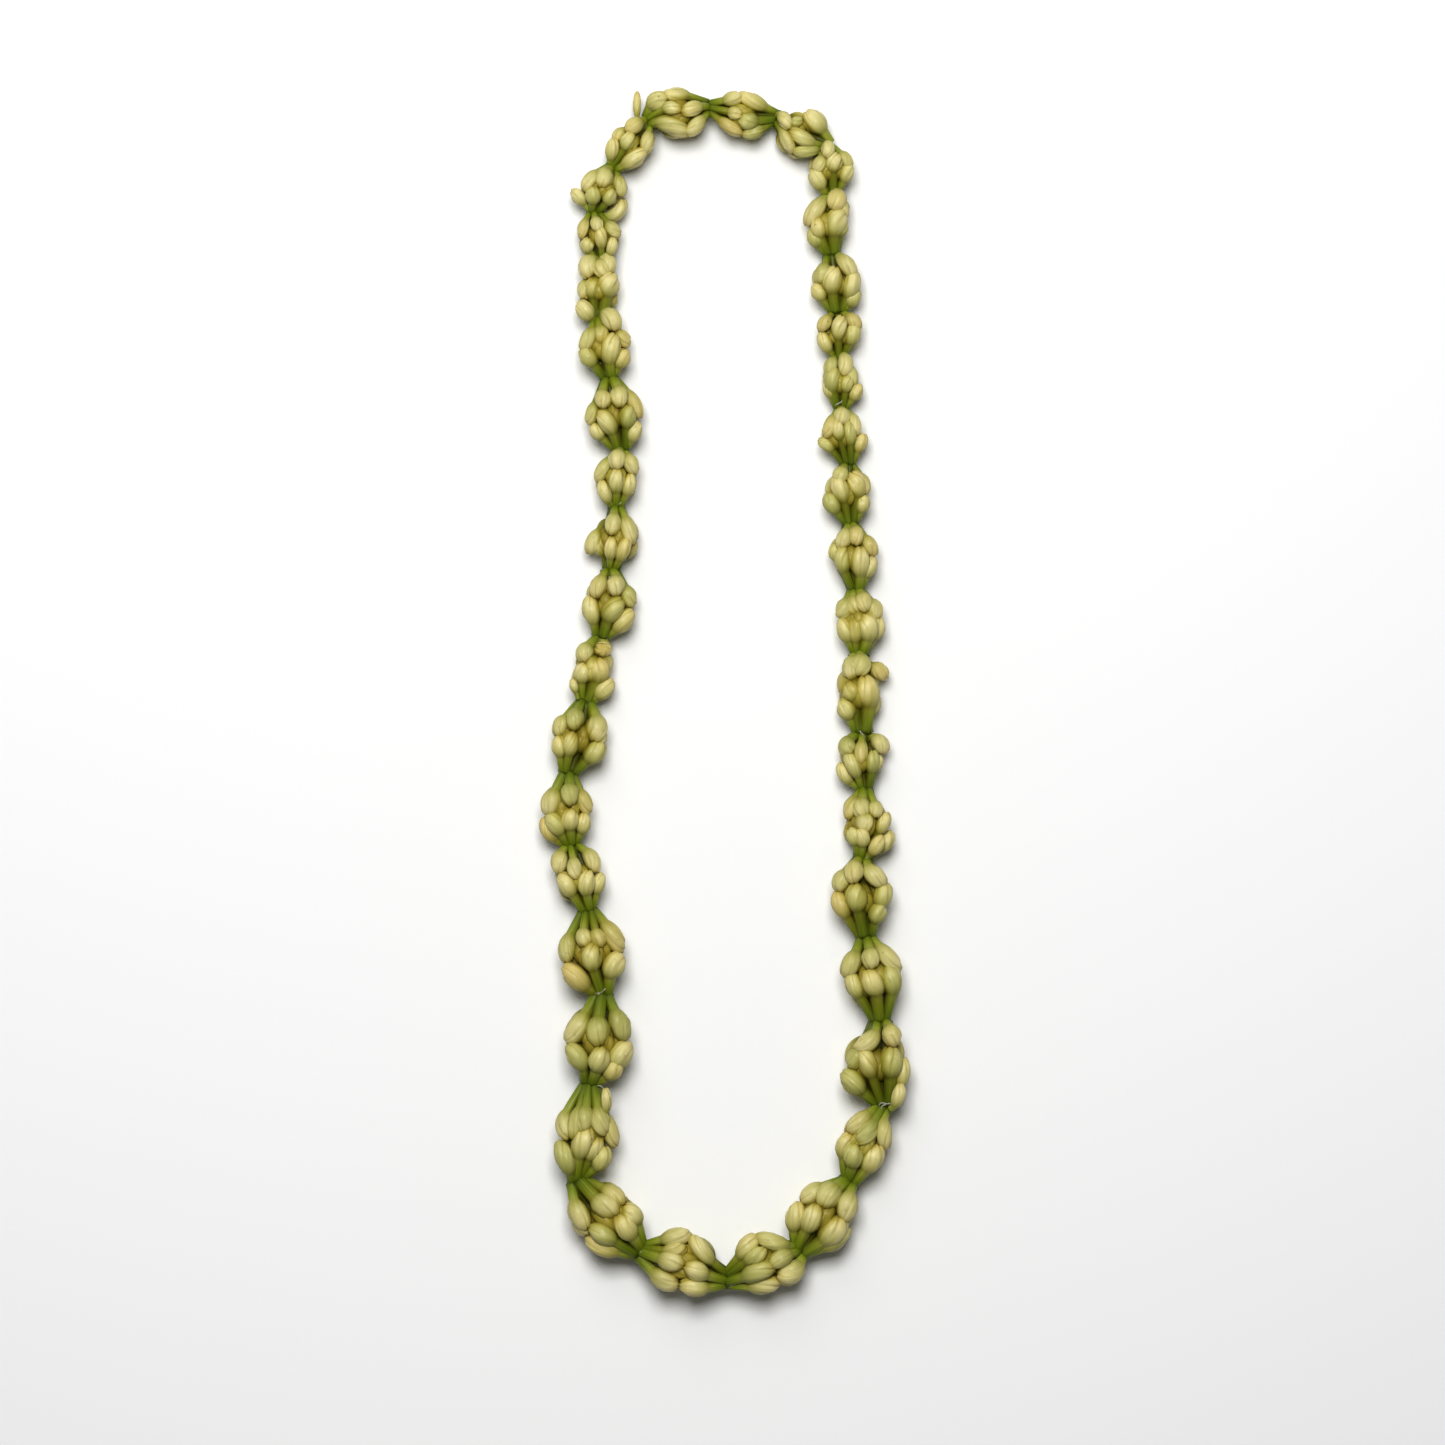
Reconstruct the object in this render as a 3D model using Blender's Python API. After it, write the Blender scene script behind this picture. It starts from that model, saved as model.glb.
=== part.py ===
"""Jasmine garland laid out flat in a closed loop.

Thirty-nine bunches of buds follow one another on a single thread.  In every bunch two rings of
six buds are tied by their green tubes at the two knots, and their cream bulbs meet in the middle.
Metres, +Z up.  The garland lies on z = 0 and the origin is under the middle of its outline.
"""

import math

import bmesh
import bpy
import numpy as np
from mathutils import Vector

PIXEL = 0.00042             # metres of garland for one pixel of the photograph
CENTRE_PX = (724.77, 695.07)  # pixel over the origin

BUDS_IN_RING = 6
COLUMNS_PER_BUD = 4         # ridge, flank, valley, flank
COLUMNS = BUDS_IN_RING * COLUMNS_PER_BUD
THREAD_RADIUS = 0.0005
THREAD_SIDES = 6
BORE_RADIUS = 0.0010        # hole through a bunch, clear of the thread all round
BORE_SIDES = 6
JOINT_GAP = 0.0004          # between the cut ends of two neighbouring bunches
WIDE = 1.04                 # drawn out a little past the mean width read from the photograph
PRESS = 0.0005              # how far the lowest bud is pressed flat where it lies
MERGE = 0.00001
CUT = 0.0000001             # how near the table's plane a corner counts as on it
SEED = 39

ANGLE_SPREAD = math.radians(4)    # how far a bud may lean round the bunch
GIRTH_SPREAD = 0.05
FULLER = 0.04               # a bunch is fuller towards the low end of the picture by this share
REACH_SPREAD = 0.05

CREAM = (0.66, 0.60, 0.31, 1.0)
GREEN = (0.14, 0.27, 0.03, 1.0)
COTTON = (0.80, 0.78, 0.70, 1.0)
GREEN_PART = 0.17           # share of a bunch's length, at each end, that is green tube
WAXY = 0.45                 # roughness of the petals and tubes
MATT = 0.9

# One row for each knot, clockwise from the top: x and y of the knot in pixels, then the bunch that
# ends there: its width, how far its middle stands outwards, and the turn of its two rings of buds
# in degrees outwards from straight up.
ROWS = [
    (709, 107, 50, 0, 25, 0),
    (776, 117, 43, -3, -15, -35),
    (824, 145, 48, -2, 0, -25),
    (832, 195, 45, -2, 15, 25),
    (832, 255, 45, -4, 10, 20),
    (837, 312, 48, 1, -30, -10),
    (839, 357, 44, 1, 0, 5),
    (841, 409, 39, 1, 30, -30),
    (848, 465, 43, -3, -10, 15),
    (851, 524, 46, -3, 30, 30),
    (856, 590, 48, -1, 15, 20),
    (859, 654, 47, 2, 25, 35),
    (862, 733, 46, 0, 5, 22),
    (865, 789, 44, -3, -35, 30),
    (862, 859, 49, 2, -8, -5),
    (866, 937, 58, -2, 35, -15),
    (880, 1021, 58, 0, 5, 0),
    (884, 1105, 67, -8, -20, -18),
    (849, 1182, 50, -4, -15, -22),
    (799, 1250, 60, -2, 30, 30),
    (726, 1279, 59, -3, 0, 10),
    (640, 1250, 63, -3, -5, -5),
    (577, 1180, 65, 0, -15, -10),
    (590, 1083, 60, -3, 0, 8),
    (602, 994, 65, -1, -8, 0),
    (588, 911, 64, 3, 12, 30),
    (571, 845, 50, 1, -15, 5),
    (568, 773, 52, 4, 0, 0),
    (585, 702, 56, -2, 15, 20),
    (601, 637, 42, 0, -15, -10),
    (611, 570, 51, -3, -25, -20),
    (616, 507, 48, 1, 6, 5),
    (621, 450, 44, 2, 5, 8),
    (609, 378, 55, 2, 30, 30),
    (598, 318, 51, -1, -20, 0),
    (601, 260, 44, 1, 30, 0),
    (594, 212, 46, -1, -10, -5),
    (612, 168, 46, 1, 25, 3),
    (648, 121, 43, -1, 5, 30),
]

# Buds that stand away from their bunch: bunch, root x and y, tip x and y in pixels, width in
# pixels, and the height of the tip over the thread in metres.
STRAY_BUDS = [
    (2, 816, 131, 807, 110, 18, 0.002),
    (3, 834, 163, 854, 172, 14, 0.001),
    (8, 838, 452, 817, 440, 12, 0.001),
    (8, 854, 452, 867, 437, 12, 0.001),
    (12, 866, 664, 887, 678, 16, 0.002),
    (13, 870, 744, 886, 744, 16, 0.002),
    (14, 873, 838, 889, 815, 14, 0.002),
    (23, 604, 1118, 607, 1087, 9, 0.003),
    (31, 606, 552, 585, 546, 15, 0.001),
    (37, 590, 201, 571, 190, 14, 0.002),
    (38, 637, 128, 637, 91, 8, 0.002),
]

# Stations along a bunch as a share of its length, from one knot to the next.
STATIONS = np.array([0.0, 0.17, 0.29, 0.40, 0.50, 0.60, 0.71, 0.83, 1.0])

# Along one bud, from its cut end at 0 to its tip at 1, all as a share of the bunch's radius: how
# far its middle line stands from the thread, how thick it is, and how deep the valley beside it is.
BUD_STEPS = [0.0, 0.31, 0.53, 0.73, 0.91, 1.0]
BUD_STANDS = [0.27, 0.45, 0.65, 0.68, 0.68, 0.68]
BUD_RADII = [0.12, 0.19, 0.31, 0.33, 0.19, 0.0]
VALLEY_STEPS = [0.0, 0.17, 0.29, 0.40, 0.50]
VALLEY_RADII = [0.23, 0.34, 0.52, 0.62, 0.66]
TIP_FACING = 0.53           # share of the bunch's length that a bud covers, tip against tip
TIP_BETWEEN = 0.56          # and where the tips of one ring reach in between those of the other
MEET_FROM = 0.35            # the columns follow the first ring up to this share of the length,
MEET_OVER = 0.30            # and have gone over to the last ring this much further on
LEAN_REACH = 0.5            # share of the length over which an end's lean dies out

STRAY_SIDES = 8
STRAY_STEPS = [0.0, 0.0, 0.30, 0.58, 0.84, 1.0]
STRAY_RADII = [0.0, 0.45, 0.62, 1.0, 0.80, 0.0]


def clear_scene():
    for item in list(bpy.data.objects):
        bpy.data.objects.remove(item)
    for group in list(bpy.data.collections):
        bpy.data.collections.remove(group)


def new_collection(name):
    group = bpy.data.collections.new(name)
    bpy.context.scene.collection.children.link(group)
    return group


def new_material(name, colour, roughness):
    material = bpy.data.materials.new(name)
    material.use_nodes = True
    shader = material.node_tree.nodes["Principled BSDF"]
    shader.inputs["Base Color"].default_value = colour
    shader.inputs["Roughness"].default_value = roughness
    material.diffuse_color = colour
    return material


def move_to(item, group):
    for owner in list(item.users_collection):
        owner.objects.unlink(item)
    group.objects.link(item)


def from_pixels(x, y, height):
    return np.array([(x - CENTRE_PX[0]) * PIXEL, (CENTRE_PX[1] - y) * PIXEL, height])


def unit(vector):
    return vector / np.linalg.norm(vector)


def knot_points():
    """The knots, each as high as the mean half width of the two bunches it joins."""
    count = len(ROWS)
    points = []
    for k in range(count):
        mean_width = 0.5 * (ROWS[k][2] + ROWS[(k + 1) % count][2])
        points.append(from_pixels(ROWS[k][0], ROWS[k][1], 0.5 * mean_width * PIXEL))
    return points


def knot_planes(points):
    """The plane that halves the bend at each knot: neighbouring bunches meet on it."""
    normals = []
    for k, point in enumerate(points):
        before = unit(point - points[k - 1])
        after = unit(points[(k + 1) % len(points)] - point)
        normals.append(unit(before + after))
    return normals


def ring_profile(along, spread, girth, tip):
    """Distance from the thread to the outside of one ring of buds, as a share of the radius.

    A ray leaves the thread at the angle `spread` from a bud's middle line; it ends where it leaves
    the round section of the bud, or at zero where it misses the bud or passes its `tip`.
    """
    step = along / tip
    stand = np.interp(step, BUD_STEPS, BUD_STANDS)
    thick = np.interp(step, BUD_STEPS, BUD_RADII) * girth
    inside = thick ** 2 - (stand * np.sin(spread)) ** 2
    leaves = stand * np.cos(spread) + np.sqrt(np.clip(inside, 0.0, None))
    return np.where((inside > 0.0) & (step < 1.0), leaves, 0.0)


def closest_turn(angle):
    """The same ring of buds seen from the nearest bud: an angle within half a bud's share."""
    share = 2.0 * math.pi / BUDS_IN_RING
    return (angle + share / 2.0) % share - share / 2.0


def bunch_surface(k, points, normals, dice):
    """Corner positions of one bunch: stations along it by columns round it, then its bore."""
    width, shift, turn_first, turn_last = ROWS[k][2:]
    start, end = points[k - 1], points[k]
    plane_start, plane_end = normals[k - 1], normals[k]
    length = np.linalg.norm(end - start)
    axis = (end - start) / length
    outward = unit(np.cross([0.0, 0.0, 1.0], axis))
    upward = np.cross(axis, outward)
    radius = 0.5 * width * PIXEL

    # The last ring either faces the first one or sits half a bud further round.
    turn_first = math.radians(turn_first)
    turn_last = math.radians(turn_last)
    facing = closest_turn(turn_last - turn_first)
    between = closest_turn(turn_last - turn_first - math.pi / BUDS_IN_RING)
    half_step = 0 if abs(facing) <= abs(between) else COLUMNS_PER_BUD // 2
    twist = facing if half_step == 0 else between
    tip_at = TIP_FACING if half_step == 0 else TIP_BETWEEN

    column = np.arange(COLUMNS)
    column_step = 2.0 * math.pi / COLUMNS
    owner_first = ((column + 1) // COLUMNS_PER_BUD) % BUDS_IN_RING
    owner_last = ((column + 1 - half_step) // COLUMNS_PER_BUD) % BUDS_IN_RING
    lean = dice.uniform(-ANGLE_SPREAD, ANGLE_SPREAD, (2, BUDS_IN_RING))
    girth = 1.0 + dice.uniform(-GIRTH_SPREAD, GIRTH_SPREAD, (2, BUDS_IN_RING))
    tip = tip_at * (1.0 + dice.uniform(-REACH_SPREAD, REACH_SPREAD, (2, BUDS_IN_RING)))
    spread_first = ((column + 2) % COLUMNS_PER_BUD - 2) * column_step
    spread_last = ((column - half_step + 2) % COLUMNS_PER_BUD - 2) * column_step

    along = STATIONS[:, None]
    first = ring_profile(along, spread_first, girth[0][owner_first], tip[0][owner_first])
    last = ring_profile(1.0 - along, spread_last, girth[1][owner_last], tip[1][owner_last])
    valley = np.interp(np.minimum(along, 1.0 - along), VALLEY_STEPS, VALLEY_RADII)
    size = np.maximum(np.maximum(first, last), valley)
    size = size * (1.0 + FULLER * axis[1] * np.sin(2.0 * math.pi * along))

    share_last = np.clip((along - MEET_FROM) / MEET_OVER, 0.0, 1.0)
    leaning = lean[0][owner_first] * (1.0 - share_last) + lean[1][owner_last] * share_last
    around = math.pi / 2 - turn_first - twist * share_last + column * column_step + leaning

    # A cut end keeps only its ridges and valleys: each flank joins the ridge beside it.
    for row, spread in ((0, spread_first), (-1, spread_last)):
        flank = np.nonzero(np.isclose(np.abs(spread), column_step))[0]
        ridge = (flank - np.sign(spread[flank]).astype(int)) % COLUMNS
        size[row, flank] = size[row, ridge]
        around[row, flank] = around[row, ridge]

    # Drawn out sideways to the width seen from above, and the middle moved to its side.
    bulge = np.sin(math.pi * along)
    side = size * np.cos(around)
    side = side * radius * 2.0 * WIDE / (side.max() - side.min()) + shift * PIXEL * bulge
    rise = radius * size * np.sin(around)

    # The bunch settles until its lowest bud is pressed just below the table.
    middle = 0.5 * (start[2] + end[2])
    rise *= (middle + PRESS) / -rise.min()

    # The bore: columns in groups that share one corner.
    group = ((column + 1) // (COLUMNS // BORE_SIDES)) % BORE_SIDES
    bore_angle = math.pi / 2 - turn_first + group * 2.0 * math.pi / BORE_SIDES
    bore_side = np.tile(BORE_RADIUS * np.cos(bore_angle), (2, 1))
    bore_rise = np.tile(BORE_RADIUS * np.sin(bore_angle), (2, 1))

    side = np.vstack([side, bore_side])
    rise = np.vstack([rise, bore_rise])
    share = np.concatenate([STATIONS, [1.0, 0.0]])[:, None]
    across = side[..., None] * outward + rise[..., None] * upward

    # Both ends lean over to lie on the knots' planes, and the lean dies out towards the middle.
    slope_start = (JOINT_GAP / 2 - across @ plane_start) / np.dot(axis, plane_start)
    slope_end = (-JOINT_GAP / 2 - across @ plane_end) / np.dot(axis, plane_end)
    near_start = np.clip(1.0 - share / LEAN_REACH, 0.0, 1.0)
    near_end = np.clip(1.0 - (1.0 - share) / LEAN_REACH, 0.0, 1.0)
    forward = share * length + slope_start * near_start + slope_end * near_end
    corners = start + across + forward[..., None] * axis

    # Nothing crosses a knot's plane.
    behind = np.clip(JOINT_GAP / 2 - (corners - start) @ plane_start, 0.0, None)
    beyond = np.clip(JOINT_GAP / 2 + (corners - end) @ plane_end, 0.0, None)
    return corners + behind[..., None] * plane_start - beyond[..., None] * plane_end


def fill_flat(body):
    """Cut the mesh off at the table and close the flat spot this leaves."""
    geometry = body.verts[:] + body.edges[:] + body.faces[:]
    bmesh.ops.bisect_plane(body, geom=geometry, dist=CUT, plane_co=(0, 0, 0),
                           plane_no=(0, 0, -1), clear_outer=True)
    edges = [edge for edge in body.edges if edge.is_boundary]
    bmesh.ops.holes_fill(body, edges=edges, sides=0)


def make_bunch(k, points, normals, dice, materials, group):
    """A ring primitive whose outside takes the shape of the buds and whose inside is the bore."""
    corners = bunch_surface(k, points, normals, dice)
    rows = corners.shape[0]
    bpy.ops.mesh.primitive_torus_add(major_segments=COLUMNS, minor_segments=rows)
    bunch = bpy.context.active_object
    bunch.name = f"bunch_{k:02d}"
    bunch.data.name = bunch.name
    flat = corners.transpose(1, 0, 2).reshape(-1)
    bunch.data.vertices.foreach_set("co", flat)
    body = bmesh.new()
    body.from_mesh(bunch.data)
    bmesh.ops.remove_doubles(body, verts=body.verts, dist=MERGE)
    fill_flat(body)
    bmesh.ops.recalc_face_normals(body, faces=body.faces)
    body.to_mesh(bunch.data)
    body.free()
    move_to(bunch, group)
    for material in materials:
        bunch.data.materials.append(material)
    start, end = Vector(points[k - 1]), Vector(points[k])
    axis = end - start
    for face in bunch.data.polygons:
        share = (face.center - start).dot(axis) / axis.length_squared
        face.material_index = 1 if min(share, 1.0 - share) < GREEN_PART else 0
        face.use_smooth = True
    return bunch


def make_stray(row, points, group):
    """One bud on its own: a sphere primitive drawn out into a tube, a bulb and a blunt tip."""
    k, root_x, root_y, tip_x, tip_y, width, lift = row
    height = 0.5 * (points[k - 1][2] + points[k][2])
    root = Vector(from_pixels(root_x, root_y, height))
    tip = Vector(from_pixels(tip_x, tip_y, height + lift))
    turn = (tip - root).to_track_quat("Z", "Y")
    length = (tip - root).length
    rings = len(STRAY_STEPS) - 1
    body = bmesh.new()
    bmesh.ops.create_uvsphere(body, u_segments=STRAY_SIDES, v_segments=rings, radius=1.0)
    for corner in body.verts:
        step = round(math.acos(max(-1.0, min(1.0, -corner.co.z))) / math.pi * rings)
        flat = Vector((corner.co.x, corner.co.y, 0.0))
        if flat.length > MERGE:
            flat = flat.normalized() * STRAY_RADII[step] * 0.5 * width * PIXEL
        corner.co = root + turn @ (flat + Vector((0.0, 0.0, STRAY_STEPS[step] * length)))
    for face in body.faces:
        face.smooth = True
    mesh = bpy.data.meshes.new(f"stray_{k:02d}")
    body.to_mesh(mesh)
    body.free()
    stray = bpy.data.objects.new(mesh.name, mesh)
    stray.hide_render = True
    stray.display_type = "WIRE"
    group.objects.link(stray)
    return stray


def join_stray(bunch, stray):
    """Fuse a stray bud into its bunch and drop the helper."""
    fuse = bunch.modifiers.new("stray bud", "BOOLEAN")
    fuse.operation = "UNION"
    fuse.solver = "MANIFOLD"
    fuse.object = stray
    bpy.context.view_layer.objects.active = bunch
    bpy.ops.object.modifier_apply(modifier=fuse.name)
    bpy.data.objects.remove(stray)


def make_thread(points, material, group):
    """One closed thread from knot to knot."""
    curve = bpy.data.curves.new("thread", "CURVE")
    curve.dimensions = "3D"
    curve.bevel_depth = THREAD_RADIUS
    curve.bevel_resolution = (THREAD_SIDES - 4) // 2
    line = curve.splines.new("POLY")
    line.points.add(len(points) - 1)
    for place, point in zip(line.points, points):
        place.co = (point[0], point[1], point[2], 1.0)
    line.use_cyclic_u = True
    thread = bpy.data.objects.new("thread", curve)
    group.objects.link(thread)
    bpy.context.view_layer.objects.active = thread
    thread.select_set(True)
    bpy.ops.object.convert(target="MESH")
    thread = bpy.context.active_object
    thread.data.materials.append(material)
    for face in thread.data.polygons:
        face.use_smooth = True
    return thread


def build():
    clear_scene()
    garland = new_collection("jasmine_garland")
    helpers = new_collection("helpers")
    cream = new_material("jasmine_buds", CREAM, WAXY)
    green = new_material("jasmine_tubes", GREEN, WAXY)
    cotton = new_material("cotton_thread", COTTON, MATT)
    dice = np.random.default_rng(SEED)
    points = knot_points()
    normals = knot_planes(points)
    bunches = []
    for k in range(len(ROWS)):
        bunches.append(make_bunch(k, points, normals, dice, [cream, green], garland))
    for row in STRAY_BUDS:
        join_stray(bunches[row[0]], make_stray(row, points, helpers))
    make_thread(points, cotton, garland)
    bpy.data.collections.remove(helpers)


build()
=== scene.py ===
import math

import bpy
import numpy as np
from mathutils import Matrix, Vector


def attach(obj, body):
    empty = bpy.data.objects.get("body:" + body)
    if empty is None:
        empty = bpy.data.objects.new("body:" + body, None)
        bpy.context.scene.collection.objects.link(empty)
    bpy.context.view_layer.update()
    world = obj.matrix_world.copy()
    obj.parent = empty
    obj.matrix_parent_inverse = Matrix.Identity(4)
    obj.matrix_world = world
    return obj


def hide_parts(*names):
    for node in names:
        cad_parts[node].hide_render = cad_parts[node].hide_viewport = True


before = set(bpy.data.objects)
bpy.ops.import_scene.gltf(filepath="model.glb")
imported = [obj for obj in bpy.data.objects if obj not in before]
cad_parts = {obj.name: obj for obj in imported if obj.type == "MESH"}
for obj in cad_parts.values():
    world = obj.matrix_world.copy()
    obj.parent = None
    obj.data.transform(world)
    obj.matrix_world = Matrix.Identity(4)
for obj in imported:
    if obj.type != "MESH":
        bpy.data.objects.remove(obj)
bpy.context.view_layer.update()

picture = {
    "pixel": 0.00042,           # metres of garland for one pixel of the photograph
    "origin": (724.77, 695.07),     # pixel over the garland's origin
    "middle": (722.5, 722.5),   # pixel in the middle of the photograph
    "side": 1445,               # pixels
}

# The knots, clockwise from the top, then what hangs between each knot and the one before it:
# the bunch's width and how far its middle stands outwards, all in pixels of the photograph.
knots = [
    (709, 107, 50, 0), (776, 117, 43, -3), (824, 145, 48, -4), (832, 195, 45, 3),
    (832, 255, 45, -4), (837, 312, 48, 1), (839, 357, 44, 1), (841, 409, 39, 1),
    (848, 465, 43, -3), (851, 524, 46, -3), (856, 590, 48, -1), (859, 654, 47, 2),
    (862, 733, 46, -2), (865, 789, 44, -3), (862, 859, 49, 2), (866, 937, 60, -3),
    (880, 1021, 58, 0), (884, 1105, 67, -8), (849, 1182, 50, -4), (799, 1250, 60, -2),
    (726, 1279, 59, -3), (640, 1250, 63, -3), (577, 1180, 65, 0), (590, 1083, 60, -3),
    (602, 994, 65, -1), (588, 911, 64, 3), (571, 845, 50, 1), (568, 773, 52, 4),
    (585, 702, 56, -2), (601, 637, 40, 1), (611, 570, 51, -3), (616, 507, 48, -2),
    (621, 450, 44, 2), (609, 378, 55, 2), (598, 318, 51, -1), (601, 260, 44, 1),
    (594, 212, 46, -1), (612, 168, 46, 1), (648, 121, 43, -1),
]

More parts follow.
